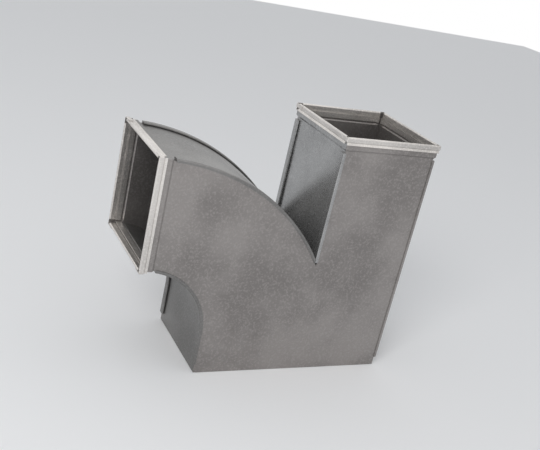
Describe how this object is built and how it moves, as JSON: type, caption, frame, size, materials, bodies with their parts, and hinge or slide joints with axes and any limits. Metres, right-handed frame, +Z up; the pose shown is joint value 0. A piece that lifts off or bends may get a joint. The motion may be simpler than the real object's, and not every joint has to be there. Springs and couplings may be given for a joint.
{
  "type": "duct branch fitting",
  "caption": "Rectangular sheet-metal duct branch: a trunk mouth feeds a straight run upwards and a radius branch to the side, with locked corner seams and slat pockets round both branch mouths",
  "frame": {"origin": "on the floor, under the middle of the fitting's box", "axes": "+X away from the branch mouth, +Y to the back, +Z up; the trunk mouth faces down, the straight mouth up and the branch mouth towards -X"},
  "size_m": [0.414, 0.1606, 0.365],
  "materials": {
    "zinc_spangle": "galvanised sheet with fine spangle, slightly stained",
    "zinc_dull": "weathered galvanised sheet, dull and darker",
    "zinc_bright": "smooth galvanised sheet that mirrors its surroundings",
    "zinc_rim": "pale galvanised folded strip, worn bright on its edges"
  },
  "bodies": {
    "root": {"front_cheek": "zinc_spangle", "back_cheek": "zinc_spangle", "heel_wrapper": "zinc_dull", "throat_wrapper": "zinc_dull", "inner_wall": "zinc_bright", "outer_wall": "zinc_spangle", "straight_rim_front": "zinc_rim", "straight_rim_back": "zinc_rim", "straight_rim_inner": "zinc_rim", "straight_rim_outer": "zinc_rim", "branch_rim_front": "zinc_rim", "branch_rim_back": "zinc_rim", "branch_rim_top": "zinc_rim", "branch_rim_bottom": "zinc_rim"}
  },
  "joints": []
}
